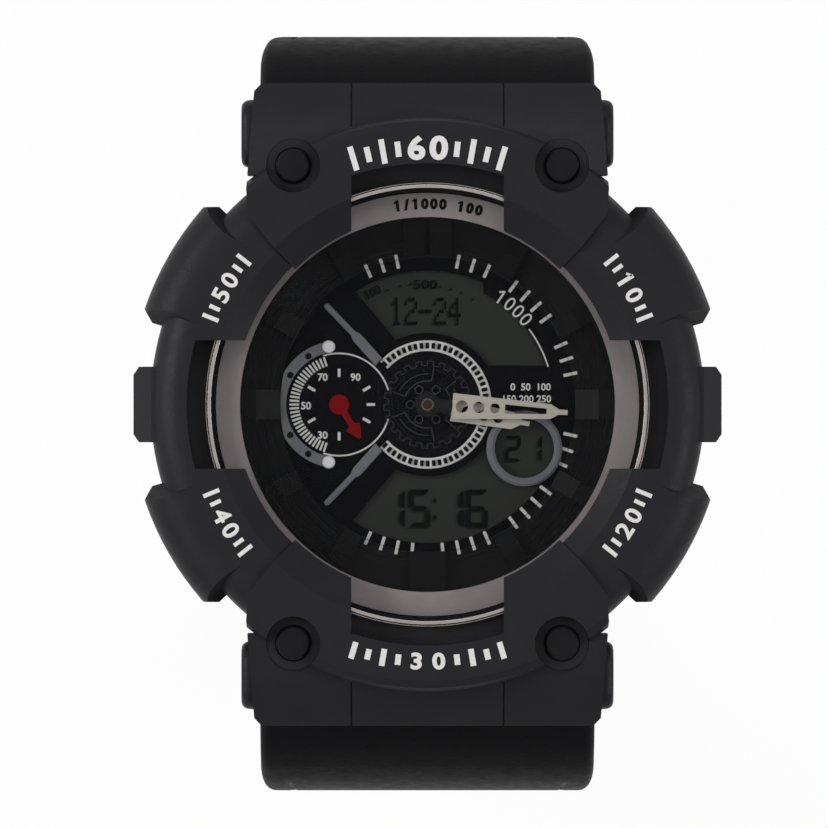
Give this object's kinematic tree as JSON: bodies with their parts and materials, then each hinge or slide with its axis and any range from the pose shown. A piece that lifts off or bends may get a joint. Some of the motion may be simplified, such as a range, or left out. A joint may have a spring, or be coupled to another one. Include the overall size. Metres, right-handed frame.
{
  "type": "sports watch",
  "caption": "Sports watch with an analog dial over a liquid crystal display, four sprung pushers, a moulded bezel and a two-piece buckled strap.",
  "frame": {"origin": "centre of the case back's outer face", "axes": "+Z the way the dial faces, +Y towards 12 o'clock, +X towards 3 o'clock"},
  "size_m": [0.0514, 0.0676, 0.079],
  "materials": {
    "bezel_resin": "satin moulded resin",
    "case_resin": "satin moulded resin",
    "strap_resin": "soft matte resin",
    "steel_satin": "satin steel",
    "steel_bright": "polished steel",
    "cap_grey": "satin",
    "crystal_glass": "polished mineral glass",
    "black_rubber": "matte",
    "dial_silver": "satin silver paint",
    "dial_black": "matte black",
    "chapter_grey": "satin dark grey",
    "lcd_film": "dark liquid crystal film",
    "hand_cream": "satin pale paint",
    "hand_red": "satin red paint",
    "print_white": "printed white",
    "brass_gear": "cut brass",
    "magnet": "plated magnet",
    "module_plastic": "moulded",
    "board_green": "solder mask",
    "copper_wire": "enamelled copper wire",
    "lamp_white": "clear",
    "silicone": "translucent"
  },
  "bodies": {
    "case": {"case_body": "case_resin", "case_back": "steel_satin", "case_back_gasket": "black_rubber", "case_back_screws": "steel_bright", "crystal": "crystal_glass", "crystal_gasket": "black_rubber", "rim_ring": "steel_bright", "dial_ring": "dial_silver", "chapter_ring": "chapter_grey", "bezel": "bezel_resin", "bezel_corner_plugs": "cap_grey", "strap_pins": "steel_bright", "strap_pin_caps": "cap_grey", "dial_plate": "dial_black", "lcd_panel": "lcd_film", "subdial_disc": "dial_black", "subdial_crescent": "dial_silver", "center_gear_disc": "dial_black", "segment_ring": "print_white", "caliper_arms": "dial_silver", "date_ring": "dial_silver", "module_frame": "module_plastic", "circuit_board": "board_green", "battery": "steel_bright", "battery_clip": "steel_satin", "motor_coils": "copper_wire", "stator_plates": "steel_satin", "contact_strips": "silicone", "led_lamp": "lamp_white", "piezo_disc": "brass_gear", "pusher_seals": "black_rubber", "pusher_spring_2": "steel_bright", "pusher_spring_4": "steel_bright", "pusher_spring_8": "steel_bright", "pusher_spring_10": "steel_bright"},
    "minute_works": {"cannon_pinion": "brass_gear", "minute_hand": "hand_cream"},
    "hour_works": {"hour_wheel": "brass_gear", "hour_hand": "hand_cream"},
    "reduction_wheel": {"minute_wheel": "brass_gear"},
    "time_rotor": {"rotor": "magnet"},
    "small_hand": {"subdial_arbor": "brass_gear", "subdial_hand": "hand_red"},
    "small_rotor": {"subdial_rotor": "magnet"},
    "upper_strap": {"strap_upper": "strap_resin"},
    "lower_strap": {"strap_lower": "strap_resin"},
    "keeper": {"keeper_loop": "strap_resin"},
    "buckle": {"buckle_frame": "steel_satin", "buckle_pin": "steel_bright"},
    "tongue": {"buckle_tongue": "steel_satin"},
    "button_2": {"pusher_2": "cap_grey", "pusher_clip_2": "steel_bright"},
    "button_4": {"pusher_4": "cap_grey", "pusher_clip_4": "steel_bright"},
    "button_8": {"pusher_8": "cap_grey", "pusher_clip_8": "steel_bright"},
    "button_10": {"pusher_10": "cap_grey", "pusher_clip_10": "steel_bright"}
  },
  "joints": [
    {"name": "minute_hand_turn", "type": "hinge", "parent": "case", "child": "minute_works", "pos_m": [0, 0, 0.0088], "axis": [0, 0, -1], "continuous": true},
    {"name": "hour_hand_turn", "type": "hinge", "parent": "case", "child": "hour_works", "pos_m": [0, 0, 0.0083], "axis": [0, 0, -1], "continuous": true},
    {"name": "minute_wheel_turn", "type": "hinge", "parent": "case", "child": "reduction_wheel", "pos_m": [0.0024, 0.00416, 0.0055], "axis": [0, 0, -1], "continuous": true},
    {"name": "rotor_turn", "type": "hinge", "parent": "case", "child": "time_rotor", "pos_m": [0.00168, -0.00291, 0.0045], "axis": [0, 0, -1], "continuous": true},
    {"name": "small_hand_turn", "type": "hinge", "parent": "case", "child": "small_hand", "pos_m": [-0.00775, 0, 0.0079], "axis": [0, 0, -1], "continuous": true},
    {"name": "small_rotor_turn", "type": "hinge", "parent": "case", "child": "small_rotor", "pos_m": [-0.00661, 0.00197, 0.0045], "axis": [0, 0, -1], "continuous": true},
    {"name": "push_2", "type": "slide", "parent": "case", "child": "button_2", "axis": [-0.866, -0.5, 0], "range_m": [0, 0.001], "stiffness_N_per_m": 300, "springref_m": -0.002, "deforming": ["pusher_spring_2"]},
    {"name": "push_4", "type": "slide", "parent": "case", "child": "button_4", "axis": [-0.866, 0.5, 0], "range_m": [0, 0.001], "stiffness_N_per_m": 300, "springref_m": -0.002, "deforming": ["pusher_spring_4"]},
    {"name": "push_8", "type": "slide", "parent": "case", "child": "button_8", "axis": [0.866, 0.5, 0], "range_m": [0, 0.001], "stiffness_N_per_m": 300, "springref_m": -0.002, "deforming": ["pusher_spring_8"]},
    {"name": "push_10", "type": "slide", "parent": "case", "child": "button_10", "axis": [0.866, -0.5, 0], "range_m": [0, 0.001], "stiffness_N_per_m": 300, "springref_m": -0.002, "deforming": ["pusher_spring_10"]},
    {"name": "upper_strap_swing", "type": "hinge", "parent": "case", "child": "upper_strap", "pos_m": [0, 0.0238, 0.0055], "axis": [1, 0, 0], "range_deg": [0, 30]},
    {"name": "lower_strap_swing", "type": "hinge", "parent": "case", "child": "lower_strap", "pos_m": [0, -0.0238, 0.0055], "axis": [-1, 0, 0], "range_deg": [0, 30]},
    {"name": "keeper_slide", "type": "slide", "parent": "upper_strap", "child": "keeper", "axis": [0, -0.1961, -0.9806], "range_m": [-0.0024, 0.0024]},
    {"name": "buckle_swing", "type": "hinge", "parent": "upper_strap", "child": "buckle", "pos_m": [0, 0.019, -0.0435], "axis": [1, 0, 0], "range_deg": [-60, 20]},
    {"name": "tongue_swing", "type": "hinge", "parent": "buckle", "child": "tongue", "pos_m": [0, 0.019, -0.0435], "axis": [1, 0, 0], "range_deg": [0, 45]}
  ],
  "couplings": [
    {"joint": "hour_hand_turn", "follows": "minute_hand_turn", "ratio": 0.083333},
    {"joint": "minute_wheel_turn", "follows": "minute_hand_turn", "ratio": -0.33333},
    {"joint": "rotor_turn", "follows": "minute_hand_turn", "ratio": -6},
    {"joint": "small_rotor_turn", "follows": "small_hand_turn", "ratio": -3.75}
  ]
}
